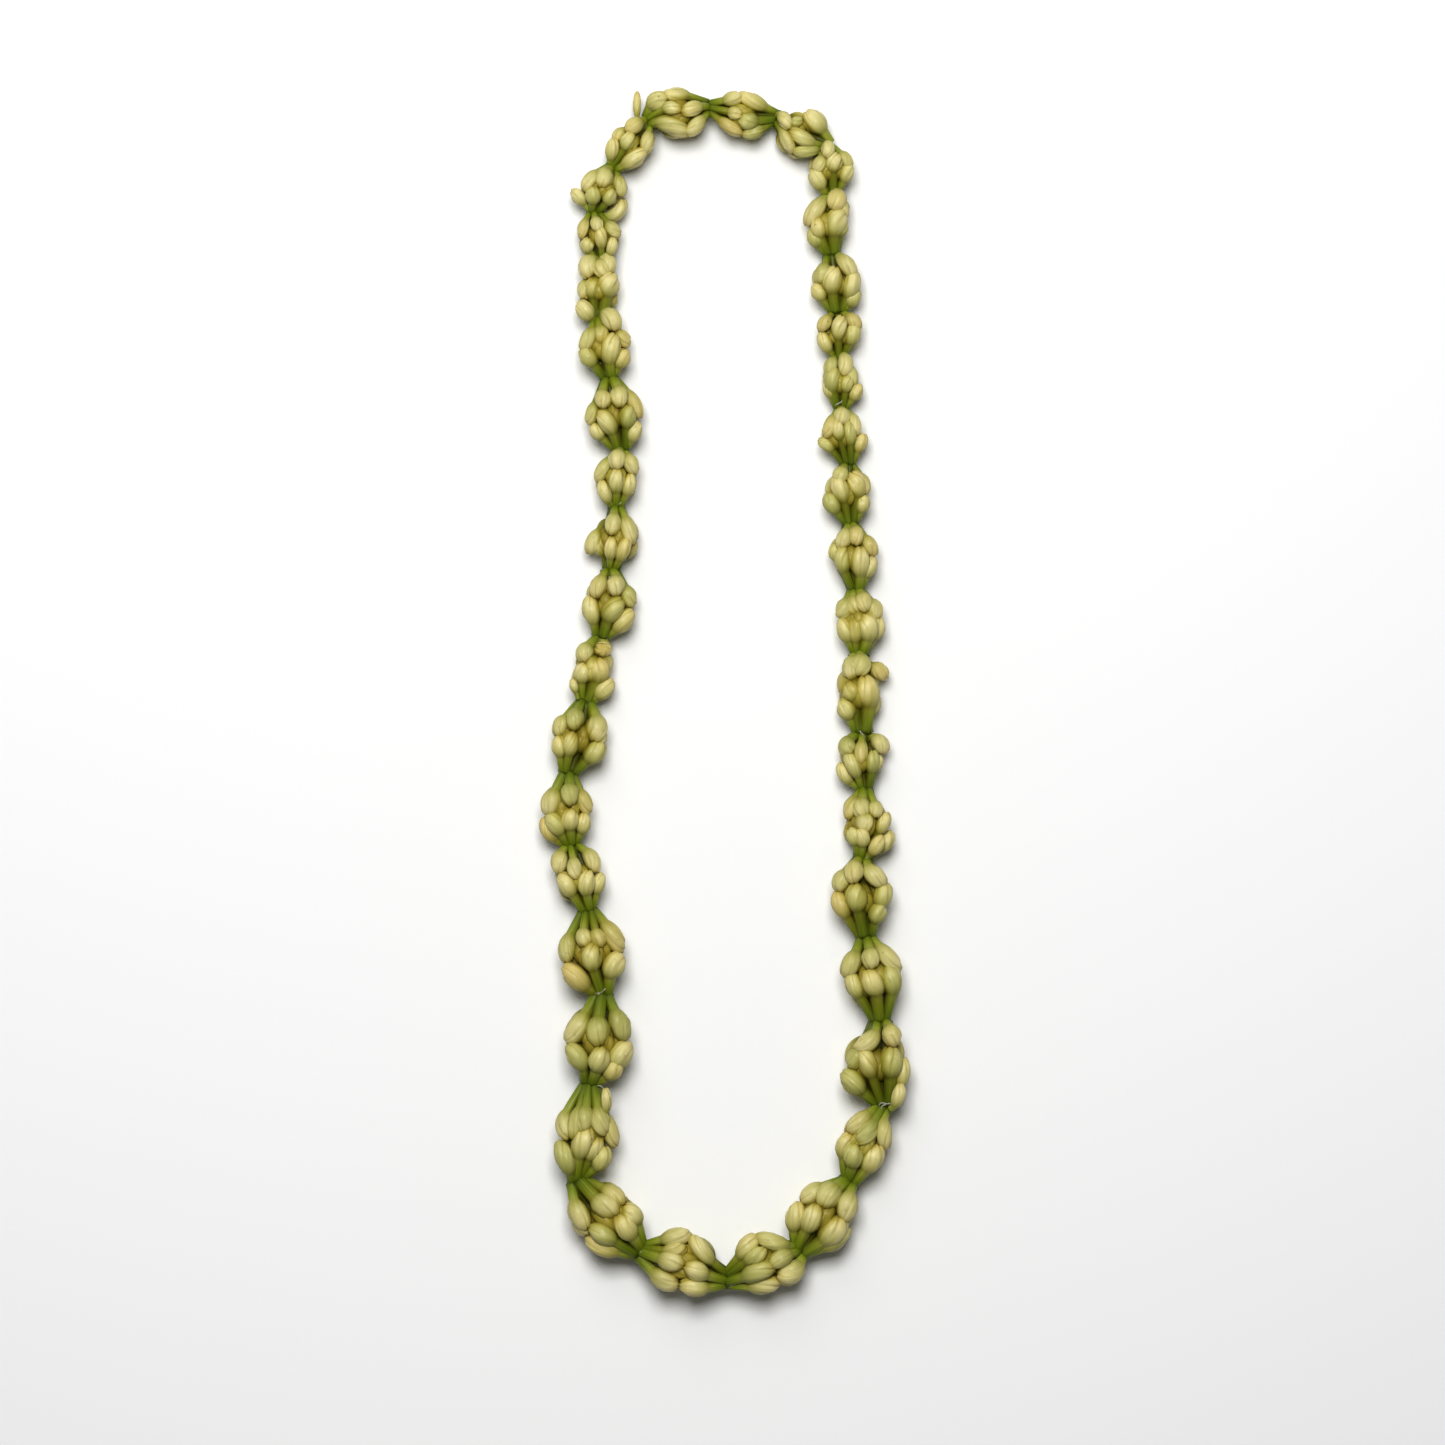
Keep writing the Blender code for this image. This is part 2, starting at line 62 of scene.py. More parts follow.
# The buds that the photograph shows in each bunch: the ring tied at the knot before, then the ring
# tied at the bunch's own knot.  A bud is its bulb's middle x and y, its tip x and y and its width.
# A loose bud stands away from its ring and isn't counted in it: it also has its tube end's x and y.
seenBuds = [
    ([(657, 101, 668, 97, 18), (672, 109, 682, 113, 15), (673, 127, 688, 136, 18)],
     [(676, 94, 662, 95, 13), (692, 110, 681, 115, 14), (696, 127, 688, 136, 15)]),
    ([(733, 99, 743, 97, 15), (735, 115, 742, 119, 13), (730, 128, 742, 135, 13)],
     [(752, 101, 738, 94, 16), (748, 122, 737, 121, 17), (753, 134, 742, 136, 11)]),
    ([(785, 121, 789, 131, 13), (787, 142, 793, 154, 12), (798, 121, 802, 117, 9)],
     [(815, 122, 806, 112, 22, 830, 142), (802, 139, 790, 129, 15), (806, 153, 792, 152, 11)]),
    ([(828, 150, 827, 159, 14), (846, 160, 851, 168, 13), (819, 165, 815, 173, 13)],
     [(834, 162, 836, 153, 17), (847, 173, 850, 164, 13), (817, 179, 813, 167, 17)]),
    ([(836, 203, 834, 212, 19), (814, 212, 806, 226, 16), (845, 209, 847, 220, 9)],
     [(818, 229, 820, 218, 15), (836, 223, 843, 209, 21), (845, 226, 847, 218, 9),
      (811, 238, 808, 228, 9)]),
    ([(849, 266, 857, 277, 13), (820, 274, 816, 284, 12)],
     [(832, 281, 833, 266, 20), (852, 285, 856, 272, 18), (817, 292, 814, 283, 13),
      (857, 297, 860, 288, 9)]),
    ([(824, 323, 819, 331, 13), (854, 321, 860, 329, 13)],
     [(839, 328, 842, 315, 15), (853, 334, 856, 323, 16), (824, 342, 820, 332, 14)]),
    ([(846, 364, 844, 377, 14), (829, 366, 826, 375, 11), (854, 375, 857, 386, 9)],
     [(832, 380, 834, 366, 17), (847, 384, 848, 375, 12), (857, 392, 861, 384, 12),
      (826, 388, 824, 377, 7)]),
    ([(842, 418, 843, 426, 15), (855, 424, 857, 436, 12), (830, 427, 826, 439, 14)],
     [(838, 431, 836, 420, 13), (850, 434, 848, 421, 13), (826, 445, 818, 440, 12),
      (861, 443, 865, 434, 13)]),
    ([(839, 476, 836, 484, 13), (866, 484, 869, 494, 10)],
     [(840, 490, 833, 477, 17), (857, 485, 853, 471, 19), (831, 504, 826, 494, 16),
      (865, 504, 867, 495, 11)]),
    ([(843, 539, 838, 549, 13), (856, 537, 856, 546, 16), (870, 546, 876, 555, 15)],
     [(842, 560, 843, 546, 16), (860, 562, 858, 546, 19), (872, 567, 876, 557, 11),
      (832, 553, 830, 544, 7)]),
    ([(864, 604, 865, 613, 16), (842, 609, 838, 619, 13), (852, 606, 854, 617, 9),
      (877, 609, 881, 619, 12)],
     [(868, 627, 864, 612, 22), (853, 629, 853, 614, 11), (843, 630, 840, 617, 14),
      (880, 628, 881, 616, 10)]),
    ([(848, 668, 846, 681, 12), (861, 667, 861, 677, 16), (879, 671, 887, 678, 17, 866, 664)],
     [(867, 692, 861, 675, 25), (850, 692, 850, 680, 14), (843, 709, 840, 697, 13)]),
    ([(847, 749, 849, 757, 17), (861, 753, 860, 766, 11), (880, 744, 885, 753, 18, 868, 737)],
     [(852, 765, 845, 753, 15), (873, 762, 874, 750, 14), (842, 774, 838, 763, 10),
      (879, 763, 881, 755, 9)]),
    ([(861, 809, 859, 820, 17), (876, 810, 877, 819, 13), (848, 808, 845, 820, 9),
      (864, 823, 866, 834, 18)],
     [(883, 824, 887, 813, 15, 873, 840), (852, 837, 850, 828, 12), (862, 838, 860, 828, 14),
      (877, 846, 882, 836, 14), (887, 842, 891, 831, 14)]),
    ([(853, 872, 852, 884, 19), (875, 876, 886, 884, 17), (839, 881, 836, 892, 14)],
     [(856, 898, 855, 883, 22), (883, 896, 889, 884, 18), (839, 905, 834, 892, 15),
      (881, 910, 884, 903, 13)]),
    ([(850, 964, 843, 976, 18), (870, 959, 869, 969, 18), (890, 958, 901, 971, 15)],
     [(853, 985, 848, 972, 16), (872, 982, 864, 969, 22), (892, 979, 887, 963, 19)]),
    ([(866, 1041, 853, 1048, 15), (892, 1037, 893, 1045, 18), (853, 1057, 847, 1067, 13)],
     [(867, 1061, 862, 1045, 18), (891, 1061, 890, 1044, 23), (852, 1081, 843, 1070, 21),
      (903, 1072, 904, 1057, 14, 893, 1098),
      (898, 1094, 900, 1082, 14, 890, 1108)]),
    ([(857, 1120, 847, 1131, 13), (867, 1131, 859, 1144, 19), (884, 1133, 888, 1148, 15)],
     [(843, 1144, 848, 1131, 14), (853, 1154, 851, 1141, 19), (873, 1158, 880, 1143, 20)]),
    ([(811, 1192, 801, 1202, 17), (826, 1196, 817, 1205, 24), (847, 1206, 845, 1221, 21)],
     [(794, 1215, 800, 1201, 17), (811, 1217, 818, 1203, 21), (833, 1231, 844, 1217, 24),
      (838, 1240, 850, 1228, 16)]),
    ([(772, 1240, 756, 1234, 17), (780, 1257, 768, 1264, 16), (791, 1272, 777, 1278, 22)],
     [(747, 1245, 755, 1233, 18), (755, 1254, 767, 1248, 17), (758, 1270, 775, 1262, 21),
      (764, 1285, 780, 1281, 16)]),
    ([(701, 1248, 691, 1234, 16), (696, 1269, 684, 1262, 19), (694, 1286, 679, 1282, 18)],
     [(676, 1235, 691, 1233, 18), (675, 1247, 687, 1244, 12), (671, 1259, 685, 1261, 20),
      (664, 1279, 678, 1286, 20)]),
    ([(603, 1233, 590, 1224, 20), (626, 1225, 616, 1213, 18), (634, 1212, 625, 1203, 17),
      (600, 1247, 584, 1239, 14)],
     [(616, 1192, 627, 1201, 14), (607, 1205, 620, 1211, 25), (579, 1214, 588, 1228, 19),
      (580, 1230, 584, 1238, 10)]),
    ([(565, 1156, 558, 1140, 19), (583, 1141, 591, 1125, 20), (598, 1148, 605, 1137, 9),
      (603, 1158, 607, 1145, 17)],
     [(564, 1124, 569, 1139, 17), (575, 1121, 571, 1138, 12), (585, 1118, 582, 1132, 17),
      (601, 1120, 604, 1135, 18), (612, 1131, 616, 1147, 14), (607, 1099, 606, 1086, 11, 604, 1120)]),
    ([(577, 1055, 567, 1044, 19), (600, 1058, 601, 1044, 20), (621, 1054, 629, 1041, 22),
      (616, 1069, 621, 1059, 14)],
     [(577, 1028, 567, 1042, 21), (598, 1030, 597, 1046, 23), (621, 1024, 627, 1039, 20)]),
    ([(576, 977, 565, 964, 20), (592, 957, 592, 942, 20), (615, 965, 622, 953, 20)],
     [(567, 948, 567, 963, 18), (584, 938, 586, 948, 13), (600, 938, 605, 947, 12),
      (614, 937, 622, 952, 19)]),
    ([(567, 885, 561, 873, 17), (587, 883, 589, 870, 17), (601, 883, 603, 872, 10)],
     [(559, 862, 560, 874, 16), (575, 869, 576, 881, 14), (593, 860, 597, 873, 15)]),
    ([(555, 823, 548, 812, 17), (570, 819, 570, 807, 18), (585, 823, 585, 812, 13),
      (545, 830, 541, 817, 9)],
     [(551, 802, 547, 815, 19), (570, 794, 569, 806, 18), (585, 802, 589, 814, 15)]),
    ([(557, 746, 557, 735, 11), (570, 744, 571, 731, 14), (596, 752, 603, 743, 20)],
     [(560, 726, 556, 737, 15), (575, 720, 573, 732, 17), (597, 729, 594, 743, 21),
      (603, 738, 605, 747, 8)]),
    ([(581, 673, 583, 662, 15), (599, 671, 600, 657, 22), (605, 689, 612, 679, 18),
      (574, 686, 572, 679, 9, 578, 699)],
     [(584, 654, 582, 663, 17), (603, 649, 603, 650, 17)]),
    ([(591, 610, 588, 596, 17), (613, 609, 621, 596, 21), (625, 621, 632, 609, 16)],
     [(597, 586, 593, 598, 14), (616, 586, 612, 596, 18), (631, 597, 634, 608, 11)]),
    ([(611, 549, 612, 537, 13), (624, 550, 628, 537, 13)],
     [(613, 525, 612, 537, 16), (629, 531, 631, 546, 16), (594, 542, 589, 554, 17, 606, 522)]),
    ([(617, 481, 617, 468, 17), (630, 485, 632, 473, 13), (604, 492, 601, 480, 13)],
     [(617, 461, 616, 470, 17), (632, 464, 636, 474, 14), (602, 470, 597, 482, 13)]),
    ([(607, 422, 599, 410, 18), (628, 417, 629, 405, 17), (638, 431, 641, 421, 8),
      (595, 432, 591, 424, 10)],
     [(603, 400, 606, 409, 16), (619, 398, 617, 408, 18), (635, 404, 641, 418, 13),
      (590, 414, 587, 425, 10)]),
    ([(588, 358, 581, 350, 17), (611, 350, 614, 334, 20), (626, 359, 630, 350, 9)],
     [(588, 341, 581, 351, 15), (601, 337, 603, 348, 10), (612, 320, 617, 332, 19),
      (626, 340, 631, 346, 11)]),
    ([(584, 311, 580, 301, 16), (591, 289, 591, 278, 12), (609, 285, 611, 272, 22)],
     [(586, 266, 587, 280, 16), (603, 272, 604, 280, 13), (581, 290, 580, 300, 8),
      (612, 265, 614, 274, 10)]),
    ([(587, 246, 589, 238, 13), (601, 238, 600, 226, 12), (613, 247, 613, 237, 10)],
     [(583, 229, 581, 239, 11), (597, 225, 600, 233, 12), (613, 230, 620, 237, 14)]),
    ([(579, 197, 572, 190, 14, 590, 210), (593, 196, 593, 187, 15), (610, 198, 612, 189, 14),
      (618, 212, 624, 198, 14)],
     [(590, 181, 584, 192, 15), (604, 182, 603, 190, 18), (621, 187, 624, 197, 12)]),
    ([(612, 149, 614, 138, 13), (628, 142, 630, 132, 15), (635, 159, 647, 149, 16)],
     [(634, 126, 626, 132, 16), (648, 143, 646, 154, 14), (618, 134, 613, 141, 10),
      (637, 104, 637, 91, 8, 637, 126)]),
]


def unit(v):                    # the vector divided by its length
    return v / max(np.linalg.norm(v), 1e-9)


def unitRows(vectors):          # the same for each row
    return vectors / np.maximum(np.linalg.norm(vectors, axis=1, keepdims=True), 1e-9)


def rampUp(values, start, end):     # 0 up to the start, 1 from the end on, even between
    return np.clip((values - start) / (end - start), 0.0, 1.0)


def fromPixels(x, y, height=0.0):   # pixels from the origin's pixel, y turned upwards, in metres
    return np.array([(x - picture["origin"][0]) * picture["pixel"],
                     (picture["origin"][1] - y) * picture["pixel"], height])


def knotRadii():                # the mean half width of the two bunches that each knot joins
    widths = np.array([width for _, _, width, _ in knots], float)
    return 0.25 * (widths + np.roll(widths, -1)) * picture["pixel"]


def knotPoints():               # each knot lies as high over the surface as its radius
    return [fromPixels(x, y, height) for (x, y, _, _), height in zip(knots, knotRadii())]


def knotPlanes(points):         # the plane that halves the bend at each knot
    planes = []
    for k, point in enumerate(points):
        after = points[(k + 1) % len(points)]
        planes.append(unit(unit(point - points[k - 1]) + unit(after - point)))
    return planes


def linear(hexText):            # one sRGB hex colour as the linear values that shaders take
    parts = np.array([int(hexText[i:i + 2], 16) for i in (1, 3, 5)]) / 255.0
    curved = np.where(parts <= 0.04045, parts / 12.92, ((parts + 0.055) / 1.055) ** 2.4)
    return (*curved, 1.0)


def addNode(tree, kind, settings=None, links=None):
    # one node: attributes by name, inputs by name or number, links from another node's output;
    # "stops" are the places and hex colours of a ramp
    node = tree.nodes.new(kind)
    for name, value in (settings or {}).items():
        if name == "stops":
            places = node.color_ramp.elements
            while len(places) < len(value):
                places.new(1.0)
            for place, (at, colour) in zip(places, value):
                place.position = at
                place.color = linear(colour)
        elif isinstance(name, str) and hasattr(node, name):
            setattr(node, name, value)
        else:
            node.inputs[name].default_value = value
    for name, source in (links or {}).items():
        tree.links.new(source, node.inputs[name])
    return node


def newMaterial(name):          # a material with an empty node tree
    material = bpy.data.materials.new(name)
    material.use_nodes = True
    material.node_tree.nodes.clear()
    return material, material.node_tree


def cubicBetween(start, end, leave, arrive, t):
    # a cubic from start to end that sets out along `leave` and comes in along `arrive`
    return ((2 * t ** 3 - 3 * t ** 2 + 1) * start + (t ** 3 - 2 * t ** 2 + t) * leave
            + (3 * t ** 2 - 2 * t ** 3) * end + (t ** 3 - t ** 2) * arrive)


def ringsRound(line, heading, outwards, angle, radius):
    # A ring of corners round each point of a line, square to its heading: angle 0 is sideways, a
    # quarter turn is outwards, and the radius may be another one in every direction.
    side = unitRows(np.cross(heading, outwards))
    top = np.cross(side, heading)
    spokes = side[:, None] * np.cos(angle)[..., None] + top[:, None] * np.sin(angle)[..., None]
    return line[:, None] + spokes * radius[..., None]


def closedGrid(rings):
    # faces of a tube of rings (rows x columns x 3) closed by one corner at each end
    rows, columns = rings.shape[:2]
    number = np.arange(rows * columns).reshape(rows, columns)
    beside = np.roll(number, -1, axis=1)
    quads = np.stack([number[:-1], number[1:], beside[1:], beside[:-1]], axis=-1).reshape(-1, 4)
    first, last = rows * columns, rows * columns + 1
    startFan = np.stack([np.full(columns, first), number[0], beside[0]], axis=-1)
    endFan = np.stack([np.full(columns, last), beside[-1], number[-1]], axis=-1)
    return quads, np.concatenate([startFan, endFan])


def joinSurfaces(name, surfaces, material):
    # one mesh from several closed surfaces: their corners, quads and fans of triangles, and
    # whatever else they hold for each corner goes into an attribute that the material reads
    starts = np.cumsum([0] + [len(surface["corners"]) for surface in surfaces])
    faces = []
    for surface, start in zip(surfaces, starts):
        faces += (surface["quads"] + start).tolist() + (surface["fans"] + start).tolist()
    mesh = bpy.data.meshes.new(name)
    mesh.from_pydata(np.concatenate([surface["corners"] for surface in surfaces]).tolist(), [], faces)
    mesh.polygons.foreach_set("use_smooth", np.ones(len(faces), bool))
    for key in [key for key in surfaces[0] if key not in ("corners", "quads", "fans")]:
        values = np.concatenate([surface[key] for surface in surfaces]).astype(np.float32)
        kind, field = ("FLOAT", "value") if values.ndim == 1 else ("FLOAT_VECTOR", "vector")
        mesh.attributes.new(key, kind, "POINT").data.foreach_set(field, values.reshape(-1))
    mesh.materials.append(material)
    mesh.update()
    piece = bpy.data.objects.new(name, mesh)
    bpy.context.scene.collection.objects.link(piece)
    return piece


petalLook = {
    # along a bud, from the cut end of its tube (0) over the neck (0.33) to the tip (1)
    "alongBud": [(0.00, "#4C580B"), (0.05, "#6A7810"), (0.18, "#828E20"), (0.30, "#999E42"),
                 (0.40, "#AAA65A"), (0.54, "#C3BC7C"), (0.80, "#DED49B"), (1.00, "#C8BA72")],
    "wander": 0.16,             # how far the streaks carry those colours up and down, in all
    # from the greenest bud to the ripest one, then a painted shade for the buds deep in a bunch
    "tints": [(0.00, "#DFE6CC"), (0.18, "#F1F4E2"), (0.36, "#FFFFFF"), (0.62, "#FFFFFC"),
              (0.80, "#FCF9EC"), (0.90, "#F9F4E2"), (0.92, "#F6EDD8"), (0.93, "#F0EEC8"),
              (1.00, "#F0EEC8")],
    "ripest": 0.92,
    # from a bunch's outside in to the thread: painted shade, darker and yellower deeper in the bunch
    "inwards": [(0.00, "#FFFFFF"), (0.05, "#FBFBF2"), (0.16, "#DEDAA8"), (0.27, "#C2BB76"),
                (0.38, "#A69F4E"), (0.60, "#858032"), (1.00, "#858032")],
    "streakTints": [(0.30, "#E2E3C4"), (0.50, "#FFFFFF"), (0.70, "#FFFFF6")],
    "streakShare": 0.4,
    # a seam is a dark line along each petal's lapping edge: painted shade under the lap
    "seam": "#8F8530",
    "seamRange": (0.45, 1.0),   # from the first trace of a seam to its middle
    "seamShare": 0.38,
    "speck": "#6B5626",
    "speckRange": (0.75, 0.84),     # only the peaks of the noise are specks
    "speckShare": 0.6,
    # sizes in mm; a pattern on the skin has its width round the bud and its length along it
    "skinSize": (3.96, 19.5),   # what one unit of the skin's coordinates is: a bulb's radius, a bud
    "streaks": (1.32, 15.0),    # finer on a real petal: as coarse as they need to be to show
    "veins": (0.44, 19.5),
    "wrinkles": (1.8, 7.5),
    "specks": 1.92308,
    "roughness": 0.50,
}


def skinScale(size):            # how often a pattern of this size repeats in one unit of the skin
    across, lengthwise = np.array(petalLook["skinSize"]) / size
    return across, across, lengthwise


def waxyPetal():
    # jasmine petal, fresh and moist: a thin waxy skin over pale flesh, so it is soft inside,
    # faintly glossy, green along the tube and cream on the bulb, with fine streaks lengthwise
    material, tree = newMaterial("freshJasminePetal")
    along, pick, seam, depth, skin = [addNode(tree, "ShaderNodeAttribute", {"attribute_name": name})
                                      for name in ("along", "pick", "seam", "depth", "skin")]
    streakSpace, veinSpace, wrinkleSpace = [
        addNode(tree, "ShaderNodeMapping", {"Scale": skinScale(petalLook[name])},
                {"Vector": skin.outputs["Vector"]}) for name in ("streaks", "veins", "wrinkles")]
    streaks = addNode(tree, "ShaderNodeTexNoise", {"Scale": 1.0, "Detail": 3.0, "Roughness": 0.6},
                      {"Vector": streakSpace.outputs["Vector"]})
    reach = petalLook["wander"]
    wander = addNode(tree, "ShaderNodeMath", {"operation": "MULTIPLY_ADD", 1: reach, 2: -0.5 * reach},
                     {0: streaks.outputs["Fac"]})
    moved = addNode(tree, "ShaderNodeMath", {"operation": "ADD"},
                    {0: along.outputs["Fac"], 1: wander.outputs["Value"]})
    base = addNode(tree, "ShaderNodeValToRGB", {"stops": petalLook["alongBud"]},
                   {"Fac": moved.outputs["Value"]})
    tint = addNode(tree, "ShaderNodeValToRGB", {"stops": petalLook["tints"]},
                   {"Fac": pick.outputs["Fac"]})
    # painted shade: darker and yellower the deeper a corner lies in its bunch
    innerShade = addNode(tree, "ShaderNodeValToRGB", {"stops": petalLook["inwards"]},
                    {"Fac": depth.outputs["Fac"]})
    streakTint = addNode(tree, "ShaderNodeValToRGB", {"stops": petalLook["streakTints"]},
                         {"Fac": streaks.outputs["Fac"]})
    colour = base.outputs["Color"]
    for layer, share in ((tint, 1.0), (innerShade, 1.0), (streakTint, petalLook["streakShare"])):
        mixed = addNode(tree, "ShaderNodeMix",
                        {"data_type": "RGBA", "blend_type": "MULTIPLY", 0: share},
                        {6: colour, 7: layer.outputs["Color"]})
        colour = mixed.outputs[2]
    place = addNode(tree, "ShaderNodeTexCoord")
    specks = addNode(tree, "ShaderNodeTexNoise", {"Scale": 1000.0 / petalLook["specks"], "Detail": 1.0},
                     {"Vector": place.outputs["Object"]})
    # the seams darken with painted shade; the specks are real brown marks on the petals
    for name, source in (("seam", seam), ("speck", specks)):
        start, end = petalLook[name + "Range"]
        share = addNode(tree, "ShaderNodeMapRange",
                        {"From Min": start, "From Max": end, "To Max": petalLook[name + "Share"]},
                        {"Value": source.outputs["Fac"]})
        mixed = addNode(tree, "ShaderNodeMix",
                        {"data_type": "RGBA", "blend_type": "MIX", 7: linear(petalLook[name])},
                        {0: share.outputs["Result"], 6: colour})
        colour = mixed.outputs[2]
    veins = addNode(tree, "ShaderNodeTexNoise", {"Scale": 1.0, "Detail": 2.0},
                    {"Vector": veinSpace.outputs["Vector"]})
    veined = addNode(tree, "ShaderNodeBump", {"Strength": 0.08, "Distance": 0.0003},
                     {"Height": veins.outputs["Fac"]})
    wrinkles = addNode(tree, "ShaderNodeTexNoise", {"Scale": 1.0, "Detail": 2.0},
                       {"Vector": wrinkleSpace.outputs["Vector"]})
    bump = addNode(tree, "ShaderNodeBump", {"Strength": 0.35, "Distance": 0.0015},
                   {"Height": wrinkles.outputs["Fac"], "Normal": veined.outputs["Normal"]})
    shader = addNode(tree, "ShaderNodeBsdfPrincipled",
                     {"Roughness": petalLook["roughness"], "IOR": 1.35,
                      "Subsurface Weight": 0.1, "Subsurface Radius": (1.0, 0.8, 0.35),
                      "Subsurface Scale": 0.0015, "Coat Weight": 0.10, "Coat Roughness": 0.15},
                     {"Base Color": colour, "Normal": bump.outputs["Normal"]})
    addNode(tree, "ShaderNodeOutputMaterial", {}, {"Surface": shader.outputs["BSDF"]})
    return material


budShape = {
    "petals": 5,
    # columns across one petal, how high each one stands and how dark its seam is: painted shade under
    # the lapping edge
    "lapSteps": [0.0, 0.12, 0.45, 0.78],
    "lapHeights": [-0.5, 0.42, 0.12, -0.22],
    "lapSeams": [1.0, 0.25, 0.0, 0.10],
    "tubeRows": 7, "bulbRows": 17,
    "plainSteps": [0.0, 0.15, 0.6],     # fewer columns and rows for a bud that others hide
    "plainTubeRows": 5, "plainBulbRows": 10,
    "crowding": 0.4,            # how much the bulb's rows crowd at neck and tip
    "leaving": 0.9,             # how long the tube keeps its way at its cut end, share of its length
    "arriving": 0.7,            # and at its neck
    "cutRadius": 0.245,         # share of the bulb's width
    "flare": 1.3,               # over 1 the tube widens late
    "neckAlong": 0.33,          # where the neck is between the cut end (0) and the tip (1)
    # radius of the bulb from neck (-1) to tip (1), share of half the width
    "bulbSteps": [-1.0, -0.88, -0.70, -0.45, -0.15, 0.15, 0.40, 0.62, 0.80, 0.92, 1.0],
    "bulbRadii": [0.56, 0.67, 0.81, 0.94, 1.0, 0.99, 0.94, 0.85, 0.71, 0.54, 0.34],
    "lap": 0.095,               # how far a petal's edge stands over the next one, share of the radius
    "lapRise": (-0.9, -0.1),    # where on the bulb the laps begin and where they are full
    "seamRise": (-0.8, 0.2),    # the same for the seams' colour, a painted shade
    "lift": (0.5, 1.6),         # some petals stand more and some less
    "wind": (0.3, 0.9),         # how far the petals wind evenly from neck to tip, radians
    "tipWind": 1.2,             # how much more they wind close to the tip, share of that
    "tipWindPower": 6,          # the higher, the closer to the tip
    "shortPetals": 0.28,        # share of the petals that end early, in a V
    "shortEnds": (-0.1, 0.6),   # where their points are, from neck (-1) to tip (1)
    "noEnd": 3.0,               # past the tip, for the petals that aren't short
    "shortDepth": 0.55,         # how far the V runs back at the petal's two edges
    "shortStep": 0.06,          # the drop past its edge, share of the radius
    "shortSlope": 0.15,         # how long that drop is
    "shortSeam": 0.9,           # how dark its edge is, a painted shade past the drop
    "shortSeamWidth": 0.16,
    "oval": 0.05,               # how much flatter than round a bud may be
    "tubeRibs": 0.015,
    "dimple": 0.12,             # how deep the closed tip is drawn in, share of the width
    "tipFrom": 0.6,             # where the petals' own tips begin to reach past the seams
    "tipReach": 0.10,           # and how far they do, share of the width
    "domedCut": 0.35,           # how far a cut end swells, share of its radius
    "slender": 0.57,            # a bulb's half length is never less than this share of its width
    "skinSpread": 17.0,         # how far apart the patterns on two buds may lie, units of the skin
}


